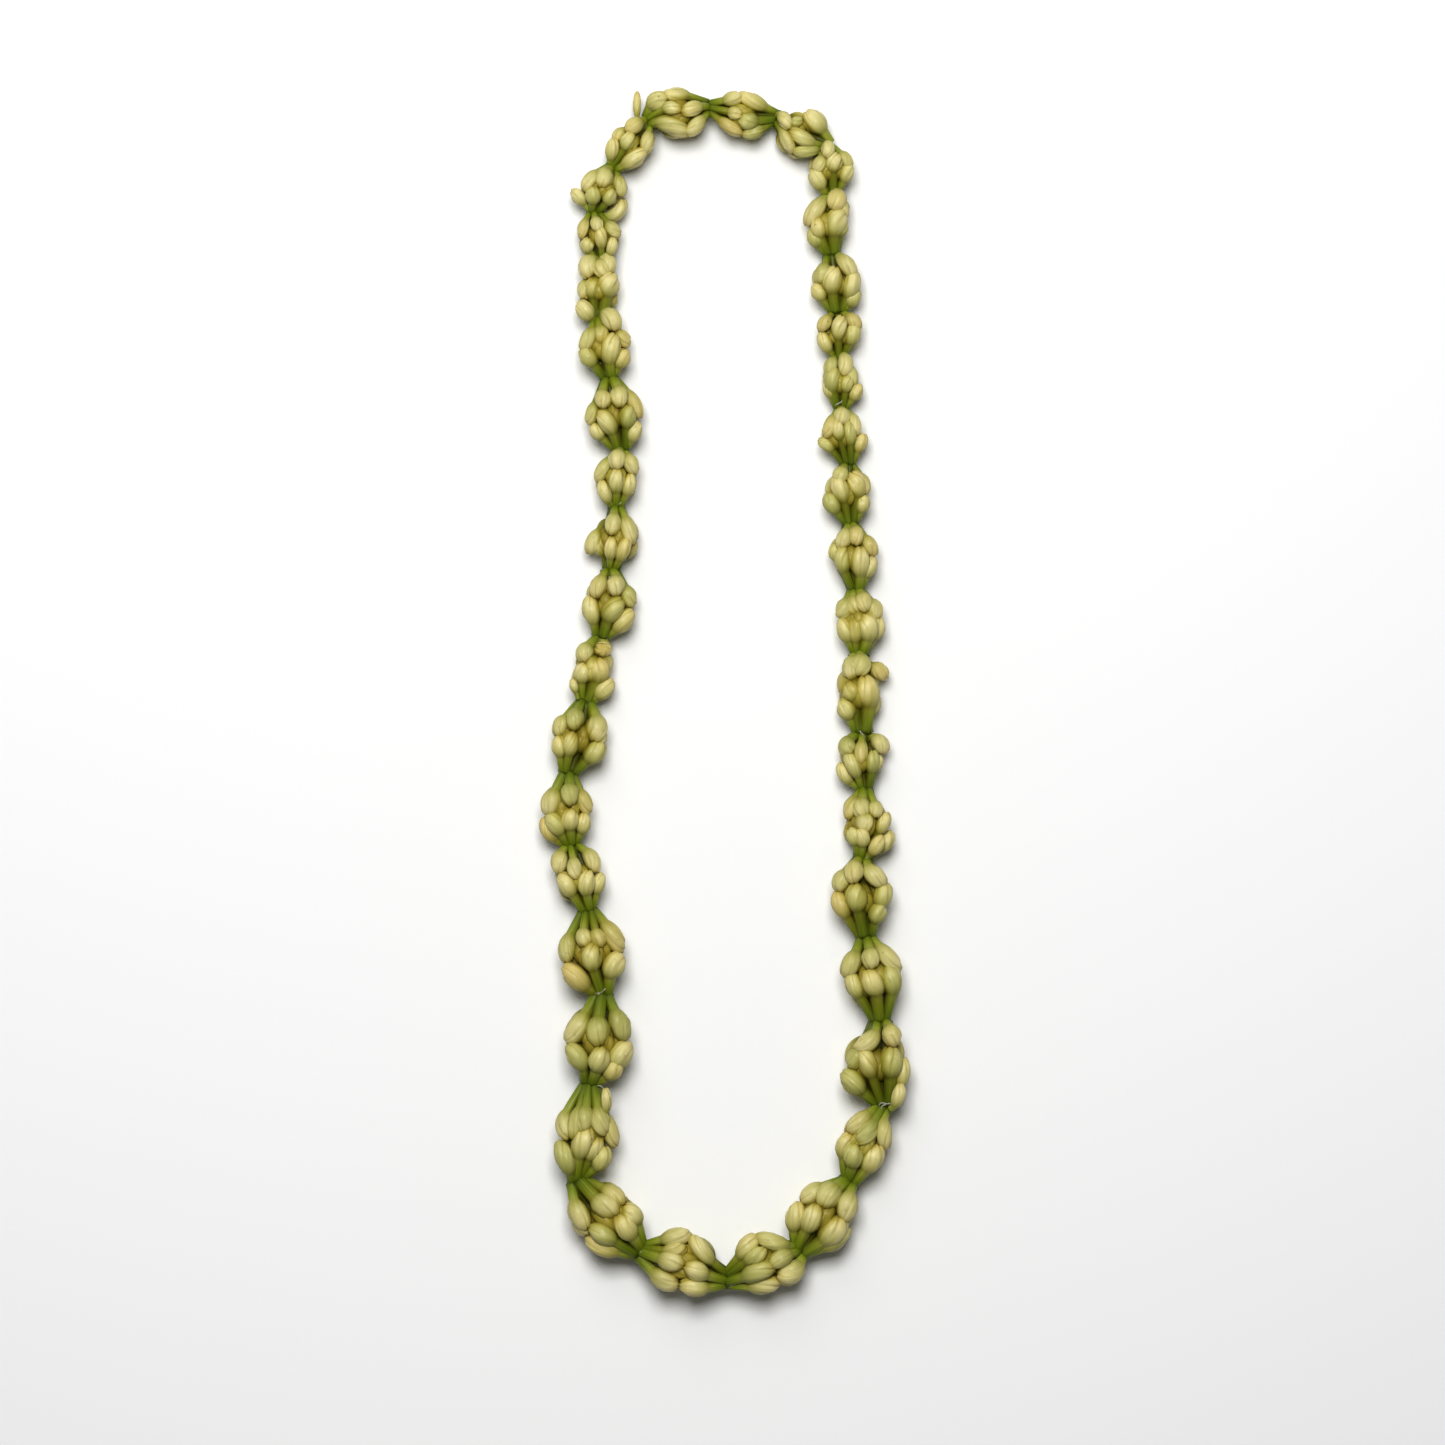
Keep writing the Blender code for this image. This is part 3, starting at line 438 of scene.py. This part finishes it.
def budSurface(cut, neck, middle, tip, width, outwards, plain, dice, firstAlong=0.0, deep=False):
    # A bud is a round section carried along its middle line: a cubic from the cut end to the
    # neck, then a parabola through neck, middle and tip.  The radius swells from tube to bulb.
    # Round the bulb it steps up at each petal's edge and falls away to the next edge, and the
    # steps wind towards the tip, so every petal laps over its neighbour.  It also drops a little
    # past the V where a short petal ends.
    steps = np.array(budShape["plainSteps" if plain else "lapSteps"])
    tubeRows = budShape["plainTubeRows" if plain else "tubeRows"]
    bulbRows = budShape["plainBulbRows" if plain else "bulbRows"]
    petals = budShape["petals"]
    phase = np.tile(steps, petals)                      # each column's place across its petal
    u = (np.repeat(np.arange(petals), len(steps)) + phase) / petals

    s = budShape["crowding"] * -np.cos(np.linspace(0.0, math.pi, bulbRows))
    s = (s + (1.0 - budShape["crowding"]) * np.linspace(-1.0, 1.0, bulbRows))[:, None]
    halfWay = 0.5 * (tip - neck)
    bow = 0.5 * (tip + neck) - middle
    bulbLine = middle + s * halfWay + s ** 2 * bow
    t = np.linspace(0.0, 1.0, tubeRows, endpoint=False)[:, None]
    arrive = unit(halfWay - 2.0 * bow) * np.linalg.norm(neck - cut) * budShape["arriving"]
    tubeLine = cubicBetween(cut, neck, (neck - cut) * budShape["leaving"], arrive, t)
    line = np.concatenate([tubeLine, bulbLine])
    heading = unitRows(np.gradient(line, axis=0))

    cutRadius = budShape["cutRadius"] * width
    neckRadius = 0.5 * width * budShape["bulbRadii"][0]
    tubeRadius = cutRadius + (neckRadius - cutRadius) * t[:, 0] ** budShape["flare"]
    bulbRadius = 0.5 * width * np.interp(s[:, 0], budShape["bulbSteps"], budShape["bulbRadii"])
    radius = np.concatenate([tubeRadius, bulbRadius])[:, None]

    onBulb = np.concatenate([np.full(tubeRows, -1.0), s[:, 0]])[:, None]
    wind = dice.choice([-1.0, 1.0]) * dice.uniform(*budShape["wind"])
    turn = dice.uniform(0.0, 2.0 * math.pi)
    shareUp = 0.5 * (onBulb + 1.0)
    angle = (2.0 * math.pi * u + turn
             + wind * (shareUp + budShape["tipWind"] * shareUp ** budShape["tipWindPower"]))
    heights = np.interp(phase, budShape["lapSteps"], budShape["lapHeights"])
    lapHere = budShape["lap"] * rampUp(onBulb, *budShape["lapRise"])
    lift = np.repeat(dice.uniform(*budShape["lift"], petals), len(steps))
    ribs = budShape["tubeRibs"] * (onBulb <= -1.0) * np.cos(2.0 * math.pi * phase)
    short = dice.uniform(size=petals) < budShape["shortPetals"]
    ends = np.where(short, dice.uniform(*budShape["shortEnds"], petals), budShape["noEnd"])
    past = onBulb - (np.repeat(ends, len(steps)) - budShape["shortDepth"] * np.abs(2.0 * phase - 1.0))
    oval = dice.uniform(0.0, budShape["oval"]) * np.cos(2.0 * angle + dice.uniform(0.0, 2.0 * math.pi))
    swell = (1.0 + lapHere * lift * heights + ribs + oval
             - budShape["shortStep"] * rampUp(past, 0.0, budShape["shortSlope"]))
    # seams: painted shade under each lapping edge and past a short petal's V
    seams = np.interp(phase, budShape["lapSteps"], budShape["lapSeams"])
    edges = 1.0 - rampUp(np.abs(past), 0.0, budShape["shortSeamWidth"])
    seam = np.maximum(seams * rampUp(onBulb, *budShape["seamRise"]), budShape["shortSeam"] * edges)

    rings = ringsRound(line, heading, outwards, angle, radius * swell)
    opening = rampUp(onBulb, budShape["tipFrom"], 1.0) * np.sin(math.pi * phase)
    rings = rings + heading[:, None] * (opening * budShape["tipReach"] * width)[..., None]
    cutMiddle = line[0] - heading[0] * cutRadius * budShape["domedCut"]
    tipMiddle = line[-1] - heading[-1] * width * budShape["dimple"]
    quads, fans = closedGrid(rings)

    lengths = np.concatenate([[0.0], np.cumsum(np.linalg.norm(np.diff(line, axis=0), axis=1))])
    along = np.interp(lengths, [0.0, lengths[tubeRows], lengths[-1]],
                      [firstAlong, budShape["neckAlong"], 1.0]).repeat(len(u))
    # a deep bud takes the last tint, which is painted shade
    pick = 1.0 if deep else dice.uniform(0.0, petalLook["ripest"])
    circle = np.tile(2.0 * math.pi * u, len(line))      # patterns go round it, so they meet
    skin = np.stack([np.cos(circle), np.sin(circle), along], axis=-1)
    skin = np.concatenate([skin, [[0.0, 0.0, 0.0], [0.0, 0.0, 1.0]]]) + budShape["skinSpread"] * pick
    return {"corners": np.concatenate([rings.reshape(-1, 3), [cutMiddle, tipMiddle]]),
            "quads": quads, "fans": fans, "skin": skin, "pick": np.full(len(skin), pick),
            "along": np.concatenate([along, [firstAlong, 1.0]]),
            "seam": np.concatenate([seam.reshape(-1), [0.0, 1.0]])}


garland = {
    "budsInRing": 6,
    "seed": 39,
    "plumper": 1.09,            # neighbours hide a little of each bud's width
    "leastWidth": 0.78,         # a bud half hidden is at least this wide, share of the widest one
    "tieGap": (0.0000, 0.0004),     # from a knot's plane to the cut ends on either side of it
    "cutStand": 0.21,           # how far a cut end stands from the thread, share of the bunch's radius
    "leastStand": 0.25,         # and how far a bulb's middle does at the least
    "tipStand": 0.93,           # how far a tip stands from the thread, share of the bulb's own stand
    "flank": 0.92,              # buds beside the axis lie high until this share of the radius
    "straightNeck": 0.70,       # how far a neck keeps to the straight way to its cut end
    "sunk": 0.3,                # how far a bud that points at the camera sinks in, share of its width
    "steepest": 0.45,           # the most that a tip dips, share of its way along
    "tipRise": 0.1,             # the most that it rises, share of the width
    "looseFall": 0.3,           # how far a loose bud's tube falls, share of the width
    "looseTube": 0.27,          # a loose bud's tube is pale from here on, as a share of a bud
    # a hidden bud's neck, middle and tip along the bunch, then how far out it is
    "farBud": (0.22, 0.37, 0.52, 0.95),     # on the far side
    "deepBud": (0.32, 0.45, 0.58, 0.73),    # deep in the gap between two neighbours
    "farWidth": (1.15, 1.35),   # how wide it is, share of the least width of one that shows
    "deepWidth": (0.82, 0.94),
    "hiddenBow": (0.56, 0.95, 1.0),     # how far out its neck, middle and tip are, share of that
    "flattest": 0.3,            # the least that its height is pressed down to
    "knotRadius": 0.42,         # a bunch's rounded outline at its knots, share of its radius
    "roundness": 1.1,           # the lower, the fuller that outline is between them
    "tubeShade": 0.5,           # how much of the bunch's painted shade a cut end takes
    "bulbFrom": 0.4,            # from here on along a bud it takes all of it
}


class Bunch:
    # what places the buds of one bunch: its two knots, its axis and its outward and upward ways
    def __init__(self, k, points, planes):
        width, shift = knots[k][2:]
        self.start, self.end = points[k - 1], points[k]
        self.planes = planes[k - 1], planes[k]
        self.length = np.linalg.norm(self.end - self.start)
        self.axis = (self.end - self.start) / self.length
        self.outward = unit(np.array([-self.axis[1], self.axis[0], 0.0]))
        self.upward = unit(np.cross(self.axis, self.outward))
        if self.upward[2] < 0:
            self.upward = -self.upward
        self.radius = 0.5 * width * picture["pixel"]
        self.shift = shift * picture["pixel"]

    def bowed(self, share):
        # how far the middle stands outwards: half a sine wave from knot to knot
        return self.shift * np.sin(math.pi * np.clip(share, 0.0, 1.0))

    def onAxis(self, share):
        # the straight way between the knots, and the bow
        return self.start + self.axis * self.length * share + self.outward * self.bowed(share)

    def away(self, around, high=1.0):
        # the way out of the axis at an angle from upwards, with its height pressed to a share
        return self.outward * math.sin(around) + self.upward * math.cos(around) * high

    def standOf(self, width):
        # how far from the axis a bulb of this width just touches the bunch's own radius
        return max(self.radius - 0.5 * width, garland["leastStand"] * self.radius)

    def place(self, share, aside, stand):
        # a point beside the axis: `aside` outwards, and as high as a half ellipse whose height is
        # the bud's stand from the axis and whose half width is a little less than the bunch's;
        # where the axis lies lower than the radius, the height is less by the same share
        rise = stand * math.sqrt(max(1.0 - (aside / (garland["flank"] * self.radius)) ** 2, 0.0))
        middle = self.onAxis(share)
        return middle + self.outward * aside + self.upward * rise * middle[2] / self.radius

    def sideAndShare(self, x, y):
        # how far outwards of the bowed middle a pixel is, and its share of the way between the knots
        flat = fromPixels(x, y) - self.start
        share = np.dot(flat[:2], self.axis[:2]) / (self.length * np.dot(self.axis[:2], self.axis[:2]))
        return np.dot(flat[:2], self.outward[:2]) - self.bowed(share), share

    def depth(self, corners):
        # how far inside the bunch's own rounded outline each corner is: 0 on it, 1 at the thread
        share = np.clip((corners - self.start) @ self.axis / self.length, 0.0, 1.0)
        swelling = np.sin(math.pi * share) ** garland["roundness"]
        outline = self.radius * (garland["knotRadius"] + (1.0 - garland["knotRadius"]) * swelling)
        return 1.0 - np.linalg.norm(corners - self.onAxis(share[:, None]), axis=1) / outline

    def cutEnd(self, last, around, gap):
        # out from the knot at the bud's angle, then along the axis to its gap from the knot's plane
        knot = self.end if last else self.start
        plane = self.planes[1 if last else 0]
        across = garland["cutStand"] * self.radius * self.away(around)
        slide = ((-gap if last else gap) - np.dot(across, plane)) / np.dot(self.axis, plane)
        return knot + across + self.axis * slide


def isLoose(row):               # only a loose bud has its tube's end in its row
    return len(row) > 5


def seenBud(bunch, last, row, least, gap):
    # The middle line of a bud that the photograph shows.  One that its neighbours half hide is
    # made wider, on its hidden side, and sits lower than they do.
    x, y, tipX, tipY, widthPixels = row[:5]
    shown = widthPixels * picture["pixel"]
    width = shown * (1.0 if isLoose(row) else garland["plumper"])
    missing = 0.0 if isLoose(row) else max(least - width, 0.0)
    width += missing
    aside, share = bunch.sideAndShare(x, y)
    tipAside, tipShare = bunch.sideAndShare(tipX, tipY)
    inwards = -0.5 * (width - shown) * np.clip(2.0 * aside / bunch.radius, -1.0, 1.0)
    stand = bunch.standOf(width)
    middle = bunch.place(share, aside + inwards, stand)
    tip = bunch.place(tipShare, tipAside + inwards, stand * garland["tipStand"])
    flat = (tip - middle)[:2]       # the petals' own tips reach past this one, so it is drawn back
    tip[:2] -= flat * min(budShape["tipReach"] * width / max(np.linalg.norm(flat), 1e-6), 0.5)
    middle[2] -= 0.5 * missing
    tip[2] -= 0.5 * missing
    flatHalf = tip - middle
    flatHalf[2] = 0.0
    shortest = (budShape["slender"] - budShape["tipReach"]) * width
    if np.linalg.norm(flatHalf) < 0.5 * shortest:      # it points at the camera
        tip[2] = middle[2] + math.sqrt(shortest ** 2 - np.dot(flatHalf, flatHalf))
        middle[2] -= garland["sunk"] * width
        tip[2] -= garland["sunk"] * width
    else:
        if np.linalg.norm(flatHalf) < shortest:
            flatHalf = flatHalf * shortest / np.linalg.norm(flatHalf)
            middle = tip - flatHalf - [0.0, 0.0, tip[2] - middle[2]]
        limit = garland["steepest"] * np.linalg.norm(flatHalf)
        tip[2] = middle[2] + np.clip(tip[2] - middle[2], -limit, garland["tipRise"] * width)
    around = math.atan2(aside, max(middle[2] - bunch.onAxis(share)[2], 1e-5))
    if isLoose(row):
        cut = fromPixels(*row[5:7], middle[2] - garland["looseFall"] * width)
    else:
        cut = bunch.cutEnd(last, around, gap)
    back = -flatHalf / max(np.linalg.norm(flatHalf), 1e-6)
    straight = unit(cut - middle)
    toNeck = unit(back * (1.0 - garland["straightNeck"]) + straight * garland["straightNeck"])
    neck = middle + toNeck * np.linalg.norm(tip - middle)
    return (cut, neck, middle, tip, width, unit(middle - bunch.onAxis(share))), around


def hiddenBud(bunch, last, around, width, places, gap):
    # the middle line of a bud that the photograph hides: from its cut end outwards at one angle,
    # and pressed flatter where the axis lies low
    stand = bunch.standOf(width)
    spots = []
    for share, part in zip(places, garland["hiddenBow"]):
        axisPoint = bunch.onAxis(1.0 - share if last else share)
        high = max((axisPoint[2] - 0.5 * width) / stand, garland["flattest"])
        spots.append(axisPoint + places[3] * part * stand * bunch.away(around, high))
    return bunch.cutEnd(last, around, gap), *spots, width, bunch.away(around)


def buildBunch(k, points, planes, petal, dice):
    # For each of the two rings: the buds that show, then hidden ones spread evenly over the rest
    # of the ring, and a deep one half way between each two neighbours on the side that shows.
    bunch = Bunch(k, points, planes)
    widest = max(row[4] for ring in seenBuds[k] for row in ring if not isLoose(row))
    least = garland["leastWidth"] * garland["plumper"] * widest * picture["pixel"]
    surfaces = []
    for last, rows in enumerate(seenBuds[k]):
        arounds = []
        for row in rows:
            gap = dice.uniform(*garland["tieGap"])
            bud, around = seenBud(bunch, last, row, least, gap)
            firstAlong = garland["looseTube"] if isLoose(row) else 0.0
            surfaces.append(budSurface(*bud, False, dice, firstAlong))
            arounds.append(around)
        tied = sorted(around for around, row in zip(arounds, rows) if not isLoose(row))
        hidden = max(garland["budsInRing"] - len(tied), 1)
        unseenArc = 2.0 * math.pi - (max(arounds) - min(arounds))
        far = [max(arounds) + unseenArc * (n + 1) / (hidden + 1) for n in range(hidden)]
        turns = [far[-1] - 2.0 * math.pi, *tied, far[0]]
        deep = [0.5 * (a + b) for a, b in zip(turns, turns[1:])]
        for kind, around in [("far", a) for a in far] + [("deep", a) for a in deep]:
            width = least * dice.uniform(*garland[kind + "Width"])
            gap = dice.uniform(*garland["tieGap"])
            bud = hiddenBud(bunch, last, around, width, garland[kind + "Bud"], gap)
            surfaces.append(budSurface(*bud, True, dice, deep=kind == "deep"))
    for surface in surfaces:
        corners, along = surface["corners"], surface["along"]
        corners[:, 2] = np.maximum(corners[:, 2], 0.0)      # pressed flat where it lies
        # the depth drives the painted shade; a tube's cut end takes only part of it
        bulbShare = rampUp(along, 0.0, garland["bulbFrom"])
        share = garland["tubeShade"] + (1.0 - garland["tubeShade"]) * bulbShare
        surface["depth"] = bunch.depth(corners) * share
    piece = joinSurfaces(f"buds_{k:02d}", surfaces, petal)
    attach(piece, "root")
    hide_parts(f"bunch_{k:02d}")


thread = {
    "radius": 0.0005,
    "tieRadius": 0.0003,
    "pitch": 0.0030,            # one turn of the two plies
    "rowsPerTurn": 7,
    "columns": 10,
    "plies": 0.20,              # depth of the groove between the plies, share of the radius
    "leaning": (0.03, 0.02, 1.0),   # upwards, but never quite along a stretch of the thread
    "tieStand": 0.10,           # where the thread winds round the tubes, share of the bunch's radius
    "tieTurns": 2,
    "tieSteps": 20,
    "tieApart": 2.2,            # from one of those turns to the next, in radii of the thread
    "shownSteps": 6,            # between two points of a loop that shows
    "fibres": [(0.3, "#8F8C7C"), (0.7, "#BDBAAB")],
    "fuzz": 1 / 3,              # mm from one tuft of fibres to the next, coarse enough to show
}

# Where the thread shows on top of the tubes: the knot, then points as x and y in pixels of the
# photograph and the height over the knot in millimetres, starting down between the tubes.
shownThread = [
    (17, [(884, 1106, 1.0), (879, 1105, 4.2), (881, 1102, 5.4), (887, 1103, 5.9), (893, 1102, 5.4),
          (896, 1106, 4.2), (897, 1109, 3.4)]),
    (17, [(884, 1107, 1.0), (885, 1104, 5.6), (882, 1105, 5.6), (881, 1109, 4.8)]),
    (17, [(889, 1107, 1.0), (890, 1104, 5.7), (893, 1106, 5.2), (896, 1110, 3.6)]),
    (24, [(600, 995, 1.0), (598, 994, 4.6), (602, 991, 5.2), (606, 988, 4.6)]),
    (24, [(600, 994, 1.0), (598, 991, 4.8), (601, 996, 5.0), (604, 999, 4.4)]),
    (24, [(600, 993, 1.0), (600, 992, 4.6), (596, 993, 4.2), (593, 995, 3.4)]),
    (23, [(596, 1086, 1.0), (599, 1085, 4.4), (602, 1086, 4.4), (604, 1090, 3.2), (603, 1093, 2.4)]),
    (20, [(726, 1279, 1.0), (727, 1281, 4.6), (730, 1284, 4.2), (734, 1286, 3.2)]),
    (7, [(839, 407, 0.8), (836, 405, 4.0), (840, 403, 4.2), (843, 400, 3.6)]),
    (12, [(862, 733, 0.8), (860, 731, 3.8), (862, 734, 4.2), (865, 737, 3.6)]),
    (14, [(864, 859, 0.8), (866, 858, 4.0), (868, 855, 4.4), (869, 851, 3.8)]),
    (22, [(577, 1180, 0.8), (578, 1181, 4.6), (581, 1184, 4.4), (583, 1187, 3.2)]),
    (21, [(641, 1250, 0.8), (640, 1251, 4.8), (644, 1249, 4.8), (648, 1248, 3.8)]),
    (30, [(611, 572, 0.8), (612, 574, 3.8), (610, 577, 4.0), (608, 579, 3.0)]),
    (31, [(619, 504, 0.8), (618, 505, 3.6), (621, 503, 3.8), (624, 501, 3.0)]),
]


def cottonTwist():
    # bleached cotton sewing thread, two plies twisted: matt and a little fuzzy
    material, tree = newMaterial("twistedCottonThread")
    place = addNode(tree, "ShaderNodeTexCoord")
    fuzz = addNode(tree, "ShaderNodeTexNoise", {"Scale": 1000.0 / thread["fuzz"], "Detail": 2.0},
                   {"Vector": place.outputs["Object"]})
    colour = addNode(tree, "ShaderNodeValToRGB", {"stops": thread["fibres"]},
                     {"Fac": fuzz.outputs["Fac"]})
    bump = addNode(tree, "ShaderNodeBump", {"Strength": 0.4, "Distance": 0.0001},
                   {"Height": fuzz.outputs["Fac"]})
    shader = addNode(tree, "ShaderNodeBsdfPrincipled", {"Roughness": 0.9, "IOR": 1.5},
                     {"Base Color": colour.outputs["Color"], "Normal": bump.outputs["Normal"]})
    addNode(tree, "ShaderNodeOutputMaterial", {}, {"Surface": shader.outputs["BSDF"]})
    return material


def smoothLine(points, steps):
    # a curve through given points: each stretch is a cubic whose slopes come from its neighbours
    points = np.array(points)
    slopes = np.gradient(points, axis=0)
    t = np.linspace(0.0, 1.0, steps, endpoint=False)[None, :, None]
    stretches = cubicBetween(points[:-1, None], points[1:, None], slopes[:-1, None], slopes[1:, None], t)
    return np.concatenate([stretches.reshape(-1, 3), points[-1:]])


def twistedCord(route, radius, closed=False):
    # A round section carried along a route, pinched twice round so that two plies show, and
    # turned once every pitch.  A closed route joins on to itself, an open one is closed by fans.
    route = np.concatenate([route, route[:1]]) if closed else route
    steps = np.linalg.norm(np.diff(route, axis=0), axis=1)
    total = steps.sum()
    turns = max(round(total / thread["pitch"]), 1)
    rows, columns = turns * thread["rowsPerTurn"], thread["columns"]
    at = np.linspace(0.0, total, rows, endpoint=not closed)
    stations = np.concatenate([[0.0], np.cumsum(steps)])
    line = np.stack([np.interp(at, stations, route[:, i]) for i in range(3)], axis=-1)
    ahead = np.roll(line, -1, axis=0) - np.roll(line, 1, axis=0) if closed else np.gradient(line, axis=0)
    angle = 2.0 * math.pi * np.arange(columns) / columns
    twist = 2.0 * math.pi * turns * at / total
    swell = 1.0 + thread["plies"] * np.cos(2.0 * (angle - twist[:, None]))
    rings = ringsRound(line, unitRows(ahead), thread["leaning"], angle, radius * swell)
    if not closed:
        quads, fans = closedGrid(rings)
        return {"corners": np.concatenate([rings.reshape(-1, 3), line[:1], line[-1:]]),
                "quads": quads, "fans": fans}
    number = np.arange(rows * columns).reshape(rows, columns)
    beside = np.roll(number, -1, axis=1)
    quads = np.stack([number, np.roll(number, -1, axis=0), np.roll(beside, -1, axis=0), beside], axis=-1)
    return {"corners": rings.reshape(-1, 3),
            "quads": quads.reshape(-1, 4), "fans": np.zeros((0, 3), int)}


def tieRoute(k, points, planes):
    # the turns round the tubes at one knot: a flat spring between the cut ends on either side
    turn = np.linspace(0.0, 2.0 * math.pi * thread["tieTurns"], thread["tieTurns"] * thread["tieSteps"])
    side = unit(np.cross(planes[k], [0.0, 0.0, 1.0]))
    top = np.cross(side, planes[k])
    stand = thread["tieStand"] * knotRadii()[k]
    apart = thread["tieApart"] * thread["tieRadius"]
    rise = apart * (thread["tieTurns"] - 1) * (turn / turn[-1] - 0.5)
    return (points[k] + np.cos(turn)[:, None] * side * stand + np.sin(turn)[:, None] * top * stand
            + rise[:, None] * planes[k])


def buildThread(points, planes, cotton):
    # the closed thread from knot to knot, its turns at every knot, and the loops that show
    cords = [twistedCord(np.array(points), thread["radius"], closed=True)]
    for k in range(len(points)):
        cords.append(twistedCord(tieRoute(k, points, planes), thread["tieRadius"]))
    for k, marks in shownThread:
        route = [fromPixels(x, y, points[k][2] + 0.001 * over) for x, y, over in marks]
        cords.append(twistedCord(smoothLine(route, thread["shownSteps"]), thread["tieRadius"]))
    piece = joinSurfaces("cottonThread", cords, cotton)
    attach(piece, "root")
    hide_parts("thread")


studio = {
    "height": 2.5,              # camera above the floor
    "scaleHeight": 0.012,       # where a pixel is as large as the picture's: about halfway up a bunch
    "sensor": 36.0,
    "floor": "#F4F4F4",
    "floorSide": 6.0,
    "floorDrop": 0.0002,        # under the buds that are pressed flat
    "overheadSoftbox": ((-0.08, 0.56, 1.9), 0.8, 37.0),     # place, side and watts
    "sideSoftbox": ((-0.4, 1.3, 1.4), 1.2, 6.5),
    "fill": 0.13,
    "contrast": 0.83,           # the photograph's darks are deeper than a plain camera's
}


def setStudio():
    # a camera straight above the photograph's middle, with a lens that fits its field, a pale
    # floor, two softboxes that face the garland and a little light from everywhere
    middle = fromPixels(*picture["middle"])
    field = picture["side"] * picture["pixel"]
    camera = bpy.data.cameras.new("photoCamera")
    camera.sensor_width = studio["sensor"]
    camera.lens = studio["sensor"] * (studio["height"] - studio["scaleHeight"]) / field
    camera.clip_end = 10.0
    holder = bpy.data.objects.new("photoCamera", camera)
    holder.location = (middle[0], middle[1], studio["height"])
    bpy.context.scene.collection.objects.link(holder)
    bpy.context.scene.camera = holder

    bpy.ops.mesh.primitive_plane_add(size=studio["floorSide"], location=(0.0, 0.0, -studio["floorDrop"]))
    floor = bpy.context.active_object
    floor.name = "paleFloor"
    material, tree = newMaterial("mattWhitePaint")      # rolled wall paint, so even and without gloss
    shader = addNode(tree, "ShaderNodeBsdfPrincipled",
                     {"Base Color": linear(studio["floor"]), "Roughness": 0.8})
    addNode(tree, "ShaderNodeOutputMaterial", {}, {"Surface": shader.outputs["BSDF"]})
    floor.data.materials.append(material)

    for name in ("overheadSoftbox", "sideSoftbox"):
        spot, size, power = studio[name]
        light = bpy.data.lights.new(name, "AREA")
        light.size = size
        light.energy = power
        lamp = bpy.data.objects.new(name, light)
        lamp.location = spot
        lamp.rotation_euler = (-Vector(spot)).to_track_quat("-Z", "Y").to_euler()
        bpy.context.scene.collection.objects.link(lamp)

    world = bpy.data.worlds.new("softRoom")
    world.use_nodes = True
    background = world.node_tree.nodes["Background"]
    background.inputs["Color"].default_value = (1.0, 1.0, 1.0, 1.0)
    background.inputs["Strength"].default_value = studio["fill"]
    bpy.context.scene.world = world
    bpy.context.scene.view_settings.view_transform = "Standard"
    bpy.context.scene.view_settings.gamma = studio["contrast"]


setStudio()
print("camera, floor and light set")

points = knotPoints()
planes = knotPlanes(points)
dice = np.random.default_rng(garland["seed"])
petal = waxyPetal()
for k in range(len(knots)):
    buildBunch(k, points, planes, petal, dice)
print("bunches built:", len(knots))

buildThread(points, planes, cottonTwist())
print("thread built")
